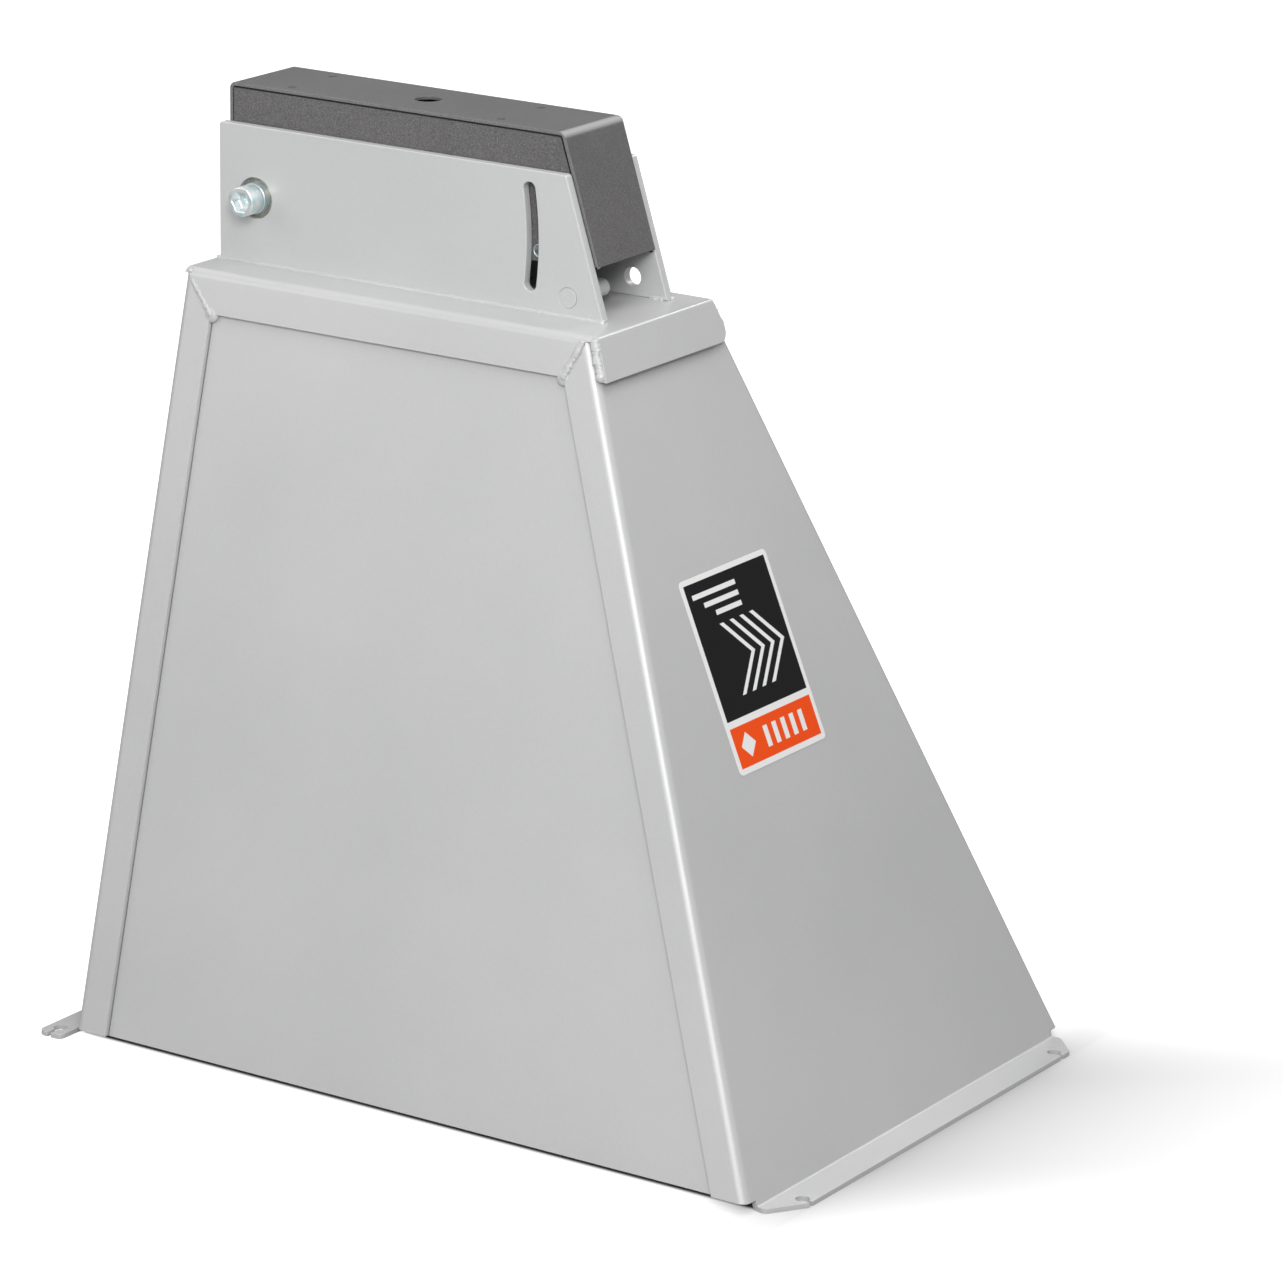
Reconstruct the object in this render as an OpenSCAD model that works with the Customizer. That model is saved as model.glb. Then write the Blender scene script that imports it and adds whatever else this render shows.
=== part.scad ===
// Floor stand for a belt or bench grinder: a plinth folded from steel sheet,
// with two bracket plates on top that carry a tilting, box-shaped head.
// X runs along the front from left to right, Y to the rear and Z up.
// The origin is on the floor, at the middle of the footprint. All sizes in millimetres.

/* [Plinth] */
// Length of the plinth on the floor, outside its two side walls
body_l = 644; // [600:2:680]
// Depth of the plinth on the floor, front to rear
body_w = 475; // [441:2:499]
// Height of the plinth to the upper face of its cap
body_h = 608; // [580:2:640]
// Length of the cap, from the left wall to the top of the leaning right wall
top_l = 387; // [375:2:399]
// Depth of the cap, front to rear
top_w = 166; // [150:2:190]
// Thickness of the plinth's sheet
sheet_t = 4; // [3:0.5:4.5]
// Outer radius of the plinth's folds
fold_r = 8.5; // [6:0.5:9]
// Width of the stiles, the side walls' flanges at the front and rear
stile_w = 31; // [28:1:36]
// Height of the cap's folded lips
lip_h = 32.5; // [28:0.5:36]
// Space between the cap's right lip and the right wall
lip_gap = 2.2; // [1:0.2:5]
// How far the ends of the cap's right lip stay back from the front and rear faces
lip_end = 3.5; // [2:0.5:5]
// Round of the right lip's lower corner at the rear
lip_corner_r = 11; // [4:1:14]
// Height of the stiles' and panels' lower edges above the floor
foot_clear = 8.5; // [8:0.5:14]
// Thickness of the front and rear panels
panel_t = 3; // [2:0.5:3.5]
// How far a panel's edges stay from the walls beside it
panel_margin = 14; // [13:1:18]

/* [Floor flanges] */
// Width of the left wall's floor flange
left_flange_w = 31; // [30:0.5:38]
// Width of the right wall's floor flange
right_flange_w = 26; // [25:0.5:34]
// Inner radius of the fold between a side wall and its flange
flange_r = 2; // [1:0.5:3]
// Depth of the footprint over the tips of the left flange's ears
ear_span = 488; // [480:2:500]
// Width of the left flange's ears
ear_w = 23.5; // [22:0.5:26]
// Distance between the roots of the left flange's ears
ear_root_span = 436; // [420:2:440]
// Diameter of the anchor holes
anchor_d = 11; // [9:0.5:12]
// Width of the slit that opens each anchor hole to the edge
slit_w = 3; // [2:0.5:4]
// Distance between the two anchor holes of the left flange
left_anchor_span = 458; // [451:1:460]
// Distance of the left anchor holes from the flange's outer edge
left_anchor_edge = 11.5; // [10:0.5:12]
// Distance of the right anchor holes from the flange's outer edge
right_anchor_edge = 9; // [9:0.5:12]
// Distance of the front right anchor hole from the middle of the stand
right_anchor_front = 188; // [180:0.5:188]
// Distance of the rear right anchor hole from the middle of the stand
right_anchor_rear = 191.5; // [190:0.5:196]
// Direction of the right holes' slits, from +X
right_slit_angle = -15; // [-20:1:0]
// Distance between the ends of the right flange
right_flange_span = 446; // [444:1:450]
// Length of the chamfer on the right flange's front end, along Y
front_chamfer = 31; // [31:1:34]
// Length of the chamfer on the right flange's rear end, along Y
rear_chamfer = 22; // [18:1:22]

/* [Bracket plates] */
// How far the plates stand out past the left wall, or back from it below zero
plate_overhang = -2; // [-3:0.5:4]
// Thickness of the two bracket plates
plate_t = 8; // [6:0.5:10]
// Height of the plates above the cap
plate_h = 111; // [104:1:116]
// Length of a plate along its foot
plate_foot_l = 369.5; // [361:0.5:373]
// Length of a plate along its upper edge
plate_top_l = 333.5; // [325:0.5:339]
// Radius of the plates' corners
plate_corner_r = 3; // [1:0.5:5]
// Place of the middle between the plates, behind the middle of the cap
pair_y = 9; // [5:0.5:12]
// Running gap between each plate and the head
side_gap = 1; // [0.4:0.1:1.4]
// Leg of the fillet weld along a plate's foot
weld_leg = 3; // [3:0.5:5]

/* [Head] */
// Outer width of the head
head_w = 80; // [72:1:88]
// Length of the head along its top
head_l = 321.6; // [316:0.2:326]
// Distance of the head's left wall from the plates' left edge
head_inset = 3.8; // [3:0.2:5]
// How far the head's top stands above the plates
head_rise = 31; // [26:1:36]
// Thickness of the head's sheet
head_t = 3; // [2:0.5:3.5]
// Outer radius of the head's folds
head_fold_r = 5; // [4:0.5:7]
// Depth of the head below its top, at the cheeks and the left wall
head_depth = 104; // [100:1:106]
// Depth of the head's leaning end wall below its top
end_wall_depth = 102; // [96:1:104]
// Seam between a cheek and the strip round it
seam = 0.3; // [0.2:0.1:0.5]
// Distance between the fixing holes on the head's top, along X
fixing_x = 202; // [190:1:216]
// Distance between the fixing holes on the head's top, along Y
fixing_y = 54; // [46:1:58]
// Diameter of the fixing holes
fixing_d = 7; // [5.5:0.5:9]
// Middle of the fixing holes, from the head's left wall
fixing_from_left = 153; // [146:0.5:164]
// Diameter of the large hole in the head's top
centre_hole_d = 21; // [16:0.5:25]
// Distance of the large hole from the middle of the fixing holes
centre_hole_shift = 12; // [0:0.5:16]
// Diameter of the flush stud in the front cheek
stud_head_d = 14; // [11:0.5:16]
// Distance of the flush stud from the head's left wall
stud_from_left = 211.5; // [200:0.5:220]
// Depth of the flush stud below the head's top
stud_below = 22.5; // [18:0.5:26]
// Barrel diameter of the flush stud
stud_d = 6; // [4:0.5:8]
// Length of the flush stud behind the cheek's face
stud_l = 20; // [12:1:24]

/* [Pivot and clamp] */
// Distance of the pivot from the plates' left edge
pivot_from_left = 35; // [33:0.5:39]
// Height of the pivot above the cap
pivot_h = 53; // [52:0.5:56]
// Diameter of the pivot holes in the plates
pivot_hole_d = 33; // [30:0.5:34]
// Radial running clearance of a boss in its pivot hole
run_fit = 0.05; // [0.02:0.01:0.08]
// How far a boss's face lies behind the plate's outer face
boss_recess = 4; // [2:0.5:5]
// Diameter of a boss's spigot in the cheek
spigot_d = 26; // [24:0.5:27]
// Length of the spigot behind the cheek's outer face
spigot_l = 15; // [10:1:18]
// Diameter of the pivot screws
screw_d = 16; // [12:1:16]
// Diameter of a pivot screw's head
screw_head_d = 24; // [22:0.5:26]
// Length of a pivot screw's shank
screw_l = 30; // [26:1:34]
// Width across the flats of the screw's hexagonal socket
socket_af = 14; // [10:1:14]
// Depth of the socket
socket_depth = 8; // [5:0.5:10]
// Outer diameter of the sleeves under the screw heads
sleeve_d = 24.8; // [23:0.2:26]
// Length of the sleeves
sleeve_l = 7; // [5:0.5:9]
// Radius of the clamp slots' centre line about the pivot
slot_r = 268; // [262:1:272]
// Angle of the slots' lower end
slot_low = -6.8; // [-7.2:0.1:-6]
// Angle of the slots' upper end
slot_high = 9.2; // [7:0.1:9.6]
// Width of the slots
slot_w = 11; // [10.5:0.5:13]
// Angle of the clamp holes in the cheeks, with the head level
clamp_angle = -1.5; // [-1.8:0.1:-1]
// Diameter of the clamp holes in the cheeks
clamp_hole_d = 11; // [10.5:0.5:12]
// Width across the flats of the clamp nuts
nut_af = 16; // [15:0.5:17]
// Thickness of the clamp nuts
nut_t = 8; // [6:0.5:10]
// Core diameter of the clamp nuts' thread
nut_bore_d = 8.5; // [6:0.5:9]
// Distance of the stop stud from the plates' left edge
stop_from_left = 336.5; // [331:0.5:339]
// Height of the stop stud above the cap
stop_h = 15; // [12:0.5:16]
// Diameter of the stop stud's flush head
stop_head_d = 16; // [15:0.5:18]
// Barrel diameter of the stop stud
stop_d = 14; // [12:0.5:14]
// Reach of the stop stud behind the front plate's outer face
stop_l = 48; // [40:1:56]
// Diameter of the access hole in the rear plate, opposite the stop stud
access_d = 15; // [12:0.5:18]

/* [Label] */
// Width of the label
label_w = 123; // [100:1:140]
// Height of the label, measured along the leaning wall
label_h = 156; // [120:1:170]
// Thickness of the label
label_t = 0.4; // [0.3:0.1:1]
// Height of the label's middle above the floor
label_mid_h = 352; // [320:1:380]
// Place of the label's middle from the middle of the wall
label_y = -11; // [-20:0.5:20]

/* [Hidden] */
$fn = 64;
// Where the right flange's chamfers begin, out from the wall, and the slant of its ends
corner_out = 5;
end_slant = 3;
// Corner radii of the ears, at their roots, mouths and tips
ear_root_r = 3;
ear_mouth_r = 5;
ear_tip_r = 7;
// Corner radii of the right flange, where its chamfers begin and at the chamfers' outer ends
flange_end_r = 6;
front_chamfer_r = 2;
rear_chamfer_r = 4;
// Length of the folded sheets before they are cut, and how far below the floor they begin
raw_l = 1.5 * body_h;
raw_below = 50;
// Inner radius of the cap's right fold, and corner radius of the label
lip_in_r = 1;
label_r = 4;
// Reach of a cutting shape past what it cuts
past = 5;
// Small clearance of a pressed or threaded fit, on the radius
snug = 0.05;
// Places of the two side walls' outer faces on the floor
x_left = left_flange_w - (left_flange_w + body_l + right_flange_w) / 2;
x_right = x_left + body_l;
// Slopes and angles of the leaning walls
right_run = (body_l - top_l) / body_h;
face_run = (body_w - top_w) / 2 / body_h;
right_lean = atan(right_run);
face_lean = atan(face_run);
// Heights of the cap's lower face and of its lips' lower edges
cap_under = body_h - sheet_t;
lip_z = body_h - lip_h;
// Inner radius of the plinth's folds
fold_in = fold_r - sheet_t;
// Faces of the bracket plates and of the head
head_front = pair_y - head_w / 2;
head_rear = pair_y + head_w / 2;
plate_front_in = head_front - side_gap;
plate_front_out = plate_front_in - plate_t;
// Head, pivot and stop places
plate_left = x_left - plate_overhang;
plate_slope = (plate_foot_l - plate_top_l) / plate_h;
plate_lean = atan(plate_slope);
head_left = plate_left + head_inset;
head_top = body_h + plate_h + head_rise;
head_right = head_left + head_l;
pivot_x = plate_left + pivot_from_left;
pivot_z = body_h + pivot_h;
stop_x = plate_left + stop_from_left;
stop_z = body_h + stop_h;
clamp_x = pivot_x + slot_r * cos(clamp_angle);
clamp_z = pivot_z + slot_r * sin(clamp_angle);
boss_face = plate_front_out + boss_recess;
stud_x = head_left + stud_from_left;
stud_z = head_top - stud_below;
// Thickness of the flush heads of the stop stud and the cheek stud
stop_head_t = 3;
stud_head_t = 1.5;
// Core diameter of the thread inside the stop stud
stop_bore_d = 6.8;
// Mitre beads and stitches
bead_r = 3.5;
bead_sink = 1.6;
stitch_l = 30;
stitch_w = 3;
stitch_heights = [60, 190, 320, 450];
// Distance of the head's stitches from its ends, and below its top
stitch_inset = 60;
stitch_drop = 30;
// Radial clearance of the sleeves on the screws
sleeve_play = 0.15;

// Outer face of the right wall and half depth of the plinth at height z
function wall_x(z) = x_right - right_run * z;
function face_y(z) = body_w / 2 - face_run * z;
// Horizontal share of a distance that is square to a leaning wall
function off_right(d) = d / cos(right_lean);
function off_face(d) = d / cos(face_lean);
function unit(v) = v / norm(v);
// Place of the right mitre at height z, between the stile's inner edge and the cap's corner
function mitre_x(z) =
    wall_x(body_h) - (wall_x(body_h) - wall_x(lip_z) + stile_w) * (body_h - z) / lip_h;

// Arc of radius r in the corner b between the neighbours a and c
function corner(a, b, c, r, n) =
    r <= 0 ? [b] :
    let (u = unit(a - b),
         v = unit(c - b),
         half = acos(u * v) / 2,
         centre = b + unit(u + v) * r / sin(half),
         p = b + u * r / tan(half) - centre,
         q = b + v * r / tan(half) - centre,
         start = atan2(p.y, p.x),
         sweep = (atan2(q.y, q.x) - start + 540) % 360 - 180)
    [for (k = [0:n]) centre + r * [cos(start + sweep * k / n), sin(start + sweep * k / n)]];

// Outline through the points pts whose corners have the radii in radii
function rounded(pts, radii, n = 8) =
    let (m = len(pts))
    [for (i = [0:m - 1]) each corner(pts[(i + m - 1) % m], pts[i], pts[(i + 1) % m], radii[i], n)];

// Plate of an XZ outline between two places along Y
module xz_plate(y0, y1, outline) {
    translate([0, y1, 0])
        rotate([90, 0, 0])
            linear_extrude(y1 - y0)
                polygon(outline);
}

// Bar of a YZ outline between two places along X
module yz_bar(x0, x1, outline) {
    translate([x0, 0, 0])
        rotate([90, 0, 90])
            linear_extrude(x1 - x0)
                polygon(outline);
}

// Round bar along Y at the place (x, z)
module y_rod(x, z, r, y0, y1) {
    translate([x, y1, z])
        rotate([90, 0, 0])
            cylinder(r = r, h = y1 - y0);
}

// Round bar from point p to point q
module rod(p, q, r) {
    d = q - p;
    translate(p)
        rotate([0, acos(d.z / norm(d)), atan2(d.y, d.x)])
            cylinder(r = r, h = norm(d));
}

// The same shape at the rear bracket plate as at the front one
module both_cheeks() {
    children();
    rear_side() children();
}

module rear_side() {
    translate([0, 2 * pair_y, 0])
        mirror([0, 1, 0])
            children();
}

// Plinth volume between two heights, reaching past the right wall by a set distance and
// staying back from the front and rear faces by another
module plinth_block(out_right, z0, z1, back = 0) {
    intersection() {
        xz_plate(-body_w, body_w, [
            [x_left, z0],
            [wall_x(z0) + off_right(out_right), z0],
            [wall_x(z1) + off_right(out_right), z1],
            [x_left, z1]]);
        yz_bar(-body_l, body_l, [
            [-face_y(z0) + off_face(back), z0],
            [face_y(z0) - off_face(back), z0],
            [face_y(z1) - off_face(back), z1],
            [-face_y(z1) + off_face(back), z1]]);
    }
}

// Section of a folded corner, square to the fold: the flange runs along -X from the corner at
// the origin, and the wall runs towards +Y, turned outwards where the cosine c isn't 0
function fold_section(c) =
    let (wall = [c, sqrt(1 - c * c)],
         normal = [wall.y, -c],
         inner = [-sheet_t * (1 - c) / wall.y, sheet_t])
    rounded([
        [-2 * stile_w, 0],
        [0, 0],
        body_w * wall,
        body_w * wall - sheet_t * normal,
        inner,
        [-2 * stile_w, sheet_t]],
        [0, fold_r, 0, 0, fold_in, 0]);

// Front half of a side wall's sheet with its stile, longer than it ends up
module folded_sheet(right) {
    // Angle of the fold within the front face, and cosine between the two walls' normals
    tilt = right ? atan(right_run * cos(face_lean)) : 0;
    c = right ? sin(right_lean) * sin(face_lean) : 0;
    translate([right ? x_right : x_left, -body_w / 2, 0])
        rotate([-face_lean, 0, 0])
            rotate([0, -tilt, 0])
                mirror([right ? 0 : 1, 0, 0])
                    translate([0, 0, -raw_below])
                        linear_extrude(raw_l)
                            polygon(fold_section(c));
}

// Side wall with its two stiles, cut to an outline seen from the front
module side_sheet(right, outline) {
    for (m = [0, 1])
        mirror([0, m, 0])
            intersection() {
                folded_sheet(right);
                xz_plate(-body_w, 0, outline);
            }
}

// Wall and floor flange seen from the front, with the fold between them
module flange_profile(x_edge, x_foot, x_high, z_high, sheet_x) {
    xz_plate(-body_w, body_w, rounded([
        [x_edge, 0],
        [x_edge, sheet_t],
        [x_foot, sheet_t],
        [x_high, z_high],
        [x_high + sheet_x, z_high],
        [x_foot + sheet_x, 0]],
        [0, 0, flange_r, 0, 0, flange_r + sheet_t]));
}

// Anchor hole with a slit towards the angle a
module anchor_hole(x, y, a) {
    translate([x, y, -past]) {
        cylinder(d = anchor_d, h = sheet_t + 2 * past);
        rotate([0, 0, a])
            translate([0, -slit_w / 2, 0])
                cube([2 * anchor_d, slit_w, sheet_t + 2 * past]);
    }
}

// Left wall with its stiles and its floor flange, whose ends reach out as two ears
module left_side() {
    x_edge = x_left - left_flange_w;
    x_hole = x_edge + left_anchor_edge;
    x_in = x_left + sheet_t;
    color("silver")
    difference() {
        union() {
            side_sheet(false, [
                [x_left - past, foot_clear],
                [x_left + stile_w, foot_clear],
                [x_left + stile_w, lip_z],
                [x_left + stile_w * sheet_t / lip_h, cap_under],
                [x_left - past, cap_under]]);
            intersection() {
                flange_profile(x_edge, x_left, x_left, foot_clear + past, sheet_t);
                linear_extrude(foot_clear + past)
                    polygon(rounded([
                        [x_in, -ear_root_span / 2],
                        [x_edge + ear_w, -ear_root_span / 2],
                        [x_edge + ear_w, -ear_span / 2],
                        [x_edge, -ear_span / 2],
                        [x_edge, ear_span / 2],
                        [x_edge + ear_w, ear_span / 2],
                        [x_edge + ear_w, ear_root_span / 2],
                        [x_in, ear_root_span / 2]],
                        [0, ear_root_r, ear_mouth_r, ear_tip_r,
                         ear_tip_r, ear_mouth_r, ear_root_r, 0]));
            }
        }
        for (s = [-1, 1])
            anchor_hole(x_hole, s * left_anchor_span / 2, s * 90);
    }
}

// Leaning right wall with its stiles and its floor flange, chamfered at both ends
module right_side() {
    x_edge = x_right + right_flange_w;
    x_hole = x_edge - right_anchor_edge;
    x_in = x_right - off_right(sheet_t) - past;
    half = right_flange_span / 2;
    z_high = foot_clear + past;
    color("silver")
    difference() {
        union() {
            side_sheet(true, [
                [wall_x(foot_clear) + past, foot_clear],
                [wall_x(foot_clear) - stile_w, foot_clear],
                [wall_x(lip_z) - stile_w, lip_z],
                [mitre_x(cap_under), cap_under],
                [wall_x(cap_under) + past, cap_under]]);
            intersection() {
                flange_profile(x_edge, wall_x(sheet_t), wall_x(z_high), z_high,
                               -off_right(sheet_t));
                linear_extrude(z_high)
                    polygon(rounded([
                        [x_in, -half + end_slant],
                        [x_right + corner_out, -half],
                        [x_edge, -half + front_chamfer],
                        [x_edge, half - rear_chamfer],
                        [x_right + corner_out, half],
                        [x_in, half - end_slant]],
                        [0, flange_end_r, front_chamfer_r, rear_chamfer_r, flange_end_r, 0]));
            }
        }
        anchor_hole(x_hole, -right_anchor_front, right_slit_angle);
        anchor_hole(x_hole, right_anchor_rear, right_slit_angle);
    }
}

// Flat piece that lies between two depths behind the front face, s = -1, or rear face, s = 1
module behind_face(s, d0, d1, outline) {
    z0 = -past;
    z1 = body_h;
    intersection() {
        xz_plate(-body_w, body_w, outline);
        yz_bar(-body_l, body_l, [
            [s * (face_y(z0) - off_face(d0)), z0],
            [s * (face_y(z0) - off_face(d1)), z0],
            [s * (face_y(z1) - off_face(d1)), z1],
            [s * (face_y(z1) - off_face(d0)), z1]]);
    }
}

// Panel lapped behind the stiles and the cap's lip
module panel(s) {
    z_top = cap_under - panel_margin / 2;
    behind_face(s, sheet_t, sheet_t + panel_t, [
        [x_left + panel_margin, foot_clear],
        [wall_x(foot_clear) - off_right(panel_margin), foot_clear],
        [wall_x(z_top) - off_right(panel_margin), z_top],
        [x_left + panel_margin, z_top]]);
}

module front_panel() {
    color("silver") panel(-1);
}

module rear_panel() {
    color("silver") panel(1);
}

// Short welds inside, between the panels' upright edges and the stiles behind which they lie
module panel_stitches() {
    color("darkgray")
    for (s = [-1, 1])
        for (z = stitch_heights) {
            top = z + stitch_l;
            behind_face(s, sheet_t, sheet_t + panel_t, [
                [x_left + panel_margin - stitch_w, z],
                [x_left + panel_margin, z],
                [x_left + panel_margin, top],
                [x_left + panel_margin - stitch_w, top]]);
            behind_face(s, sheet_t, sheet_t + panel_t, [
                [wall_x(z) - off_right(panel_margin), z],
                [wall_x(z) - off_right(panel_margin - stitch_w), z],
                [wall_x(top) - off_right(panel_margin - stitch_w), top],
                [wall_x(top) - off_right(panel_margin), top]]);
        }
}

// Side view of the cap, drawn in by a distance, with its round folds
function cap_outline(inset, r, z0) = rounded([
    [-face_y(z0) + off_face(inset), z0],
    [-face_y(body_h - inset) + off_face(inset), body_h - inset],
    [face_y(body_h - inset) - off_face(inset), body_h - inset],
    [face_y(z0) - off_face(inset), z0]],
    [0, r, r, 0]);

// Half the length of the right lip at a height
function lip_y(z) = face_y(z) - off_face(lip_end);

// Space around the outline of the right lip, outside the right wall
module lip_trim() {
    low = lip_z - past;
    high = body_h + past;
    near = off_right(lip_gap / 2);
    far = off_right(lip_gap + 2 * sheet_t);
    difference() {
        xz_plate(-body_w, body_w, [
            [wall_x(low) + near, low],
            [wall_x(low) + far, low],
            [wall_x(high) + far, high],
            [wall_x(high) + near, high]]);
        yz_bar(-body_l, body_l, rounded([
            [-lip_y(lip_z), lip_z],
            [lip_y(lip_z), lip_z],
            [lip_y(high + past), high + past],
            [-lip_y(high + past), high + past]],
            [0, lip_corner_r, 0, 0]));
    }
}

// Cap with folded lips at the front, the rear and over the right wall
module top_cap() {
    lip_in = off_right(lip_gap);
    lip_out = off_right(lip_gap + sheet_t);
    color("silver") {
        difference() {
            intersection() {
                yz_bar(-body_l, body_l, cap_outline(0, fold_r, lip_z - past));
                xz_plate(-body_w, body_w, rounded([
                    [x_left, cap_under],
                    [wall_x(cap_under) + lip_in, cap_under],
                    [wall_x(lip_z) + lip_in, lip_z],
                    [wall_x(lip_z) + lip_out, lip_z],
                    [wall_x(body_h) + lip_out, body_h],
                    [x_left, body_h]],
                    [0, lip_in_r, 0, 0, sheet_t, 0]));
            }
            lip_trim();
        }
        intersection() {
            difference() {
                yz_bar(-body_l, body_l, cap_outline(0, fold_r, lip_z - past));
                yz_bar(-2 * body_l, 2 * body_l, cap_outline(sheet_t, fold_in, lip_z - 2 * past));
            }
            xz_plate(-body_w, body_w, [
                [x_left + stile_w, lip_z],
                [wall_x(lip_z) - stile_w, lip_z],
                [wall_x(body_h), body_h],
                [x_left, body_h]]);
        }
    }
}

// Weld beads over the four mitres between the cap's lips and the stiles
module mitre_welds() {
    color("silver")
    difference() {
        for (s = [-1, 1]) {
            rod(bead_point(x_left + stile_w, s, lip_z),
                bead_point(x_left + sheet_t, s, cap_under), bead_r);
            rod(bead_point(wall_x(lip_z) - stile_w, s, lip_z),
                bead_point(wall_x(cap_under) - sheet_t, s, cap_under), bead_r);
        }
        plinth_block(0, lip_z - 2 * bead_r - past, body_h);
    }
}

// Point just under the surface of the front or rear face
function bead_point(x, s, z) = [x, s * (face_y(z) - off_face(bead_sink)), z];

// Weld beads down the two ends of the cap's right lip
module lip_welds() {
    color("silver")
    difference() {
        for (s = [-1, 1])
            rod(lip_point(s, lip_z + bead_r), lip_point(s, cap_under - bead_r), bead_r);
        plinth_block(0, lip_z - 2 * past, lip_z);
        plinth_block(lip_gap + sheet_t, lip_z, body_h, lip_end);
    }
}

// Point on the end of the right lip, half way through its thickness
function lip_point(s, z) = [wall_x(z) + off_right(lip_gap + sheet_t / 2),
                            s * lip_y(z), z];

// Outline of the bracket plates, with their right edge leaning
plate_outline = rounded([
    [plate_left, body_h],
    [plate_left + plate_foot_l, body_h],
    [plate_left + plate_top_l, body_h + plate_h],
    [plate_left, body_h + plate_h]],
    [0, 0, plate_corner_r, plate_corner_r]);

// Curved slot about the pivot, cut through a plate
module clamp_slot(y0, y1) {
    translate([pivot_x, y1, pivot_z])
        rotate([90, 0, 0]) {
            rotate([0, 0, slot_low])
                rotate_extrude(angle = slot_high - slot_low, $fn = 96)
                    translate([slot_r - slot_w / 2, 0])
                        square([slot_w, y1 - y0]);
            for (a = [slot_low, slot_high])
                rotate([0, 0, a])
                    translate([slot_r, 0, 0])
                        cylinder(d = slot_w, h = y1 - y0);
        }
}

// Plate with its pivot hole and clamp slot, in the front plate's place
module bracket_plate() {
    difference() {
        xz_plate(plate_front_out, plate_front_in, plate_outline);
        y_rod(pivot_x, pivot_z, pivot_hole_d / 2, plate_front_out - past, plate_front_in + past);
        clamp_slot(plate_front_out - past, plate_front_in + past);
    }
}

module front_plate() {
    color("silver")
    difference() {
        bracket_plate();
        y_rod(stop_x, stop_z, stop_d / 2 + snug, plate_front_out - past, plate_front_in + past);
        y_rod(stop_x, stop_z, stop_head_d / 2 + snug, plate_front_out - past,
              plate_front_out + stop_head_t);
    }
}

module rear_plate() {
    color("silver")
    rear_side()
        difference() {
            bracket_plate();
            y_rod(stop_x, stop_z, access_d / 2, plate_front_out - past, plate_front_in + past);
        }
}

// Fillet welds along the outer feet of the two plates
module plate_welds() {
    weld_start = max(x_left, plate_left);
    weld_l = plate_left + plate_foot_l - weld_start;
    color("silver")
    both_cheeks()
        intersection() {
            translate([weld_start, plate_front_out, body_h])
                rotate([0, 90, 0])
                    cylinder(r = weld_leg, h = weld_l);
            translate([weld_start, plate_front_out - weld_leg, body_h])
                cube([weld_l, weld_leg, weld_leg]);
        }
}

// Stud pressed flush into the front plate: the head comes to rest on it, and it has a thread
module stop_stud() {
    y_end = plate_front_out + stop_l;
    color("gray")
    difference() {
        union() {
            y_rod(stop_x, stop_z, stop_head_d / 2, plate_front_out, plate_front_out + stop_head_t);
            y_rod(stop_x, stop_z, stop_d / 2, plate_front_out, y_end);
        }
        y_rod(stop_x, stop_z, stop_bore_d / 2, plate_front_in, y_end + past);
    }
}

// Printed label stuck to the leaning wall
module label_plate() {
    rise = label_h * cos(right_lean) / 2;
    z0 = label_mid_h - rise;
    z1 = label_mid_h + rise;
    y0 = label_y - label_w / 2;
    y1 = label_y + label_w / 2;
    color("white")
    intersection() {
        xz_plate(-body_w, body_w, [
            [wall_x(z0), z0],
            [wall_x(z0) + off_right(label_t), z0],
            [wall_x(z1) + off_right(label_t), z1],
            [wall_x(z1), z1]]);
        yz_bar(-body_l, body_l, rounded([[y0, z0], [y1, z0], [y1, z1], [y0, z1]],
                                        [label_r, label_r, label_r, label_r]));
    }
}

// Right end of the head at height z
function head_end(z) = head_right + plate_slope * (head_top - z);

// Head seen from the front, drawn in by a distance, down to set heights at its two ends
function head_outline(inset, r, z_left, z_right) = rounded([
    [head_left + inset, z_left],
    [head_left + inset, head_top - inset],
    [head_end(head_top - inset) - inset / cos(plate_lean), head_top - inset],
    [head_end(z_right) - inset / cos(plate_lean), z_right]],
    [0, r, r, 0]);

// Strip that forms the head's left wall, top and leaning end wall
module head_strip() {
    z_left = head_top - head_depth;
    z_right = head_top - end_wall_depth;
    x_mid = head_left + fixing_from_left;
    z_cut = head_top - head_t - past;
    color("dimgray")
    difference() {
        xz_plate(head_front, head_rear, head_outline(0, head_fold_r, z_left, z_right));
        xz_plate(head_front - past, head_rear + past,
                 head_outline(head_t, head_fold_r - head_t, z_left - past, z_right - past));
        for (dx = [-1, 1])
            for (dy = [-1, 1])
                translate([x_mid + dx * fixing_x / 2, pair_y + dy * fixing_y / 2, z_cut])
                    cylinder(d = fixing_d, h = head_t + 2 * past);
        translate([x_mid + centre_hole_shift, pair_y, z_cut])
            cylinder(d = centre_hole_d, h = head_t + 2 * past);
    }
}

// Cheek plate inside the strip's edge, with its spigot hole and clamp hole
module cheek() {
    z_low = head_top - head_depth;
    y_in = head_front + head_t;
    difference() {
        xz_plate(head_front, y_in, head_outline(head_t + seam, head_fold_r - head_t, z_low, z_low));
        y_rod(pivot_x, pivot_z, spigot_d / 2 + snug, head_front - past, y_in + past);
        y_rod(clamp_x, clamp_z, clamp_hole_d / 2, head_front - past, y_in + past);
    }
}

module front_cheek() {
    color("dimgray")
    difference() {
        cheek();
        y_rod(stud_x, stud_z, stud_d / 2 + snug, head_front - past, head_front + head_t + past);
        y_rod(stud_x, stud_z, stud_head_d / 2 + snug, head_front - past, head_front + stud_head_t);
    }
}

module rear_cheek() {
    color("dimgray") rear_side() cheek();
}

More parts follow.
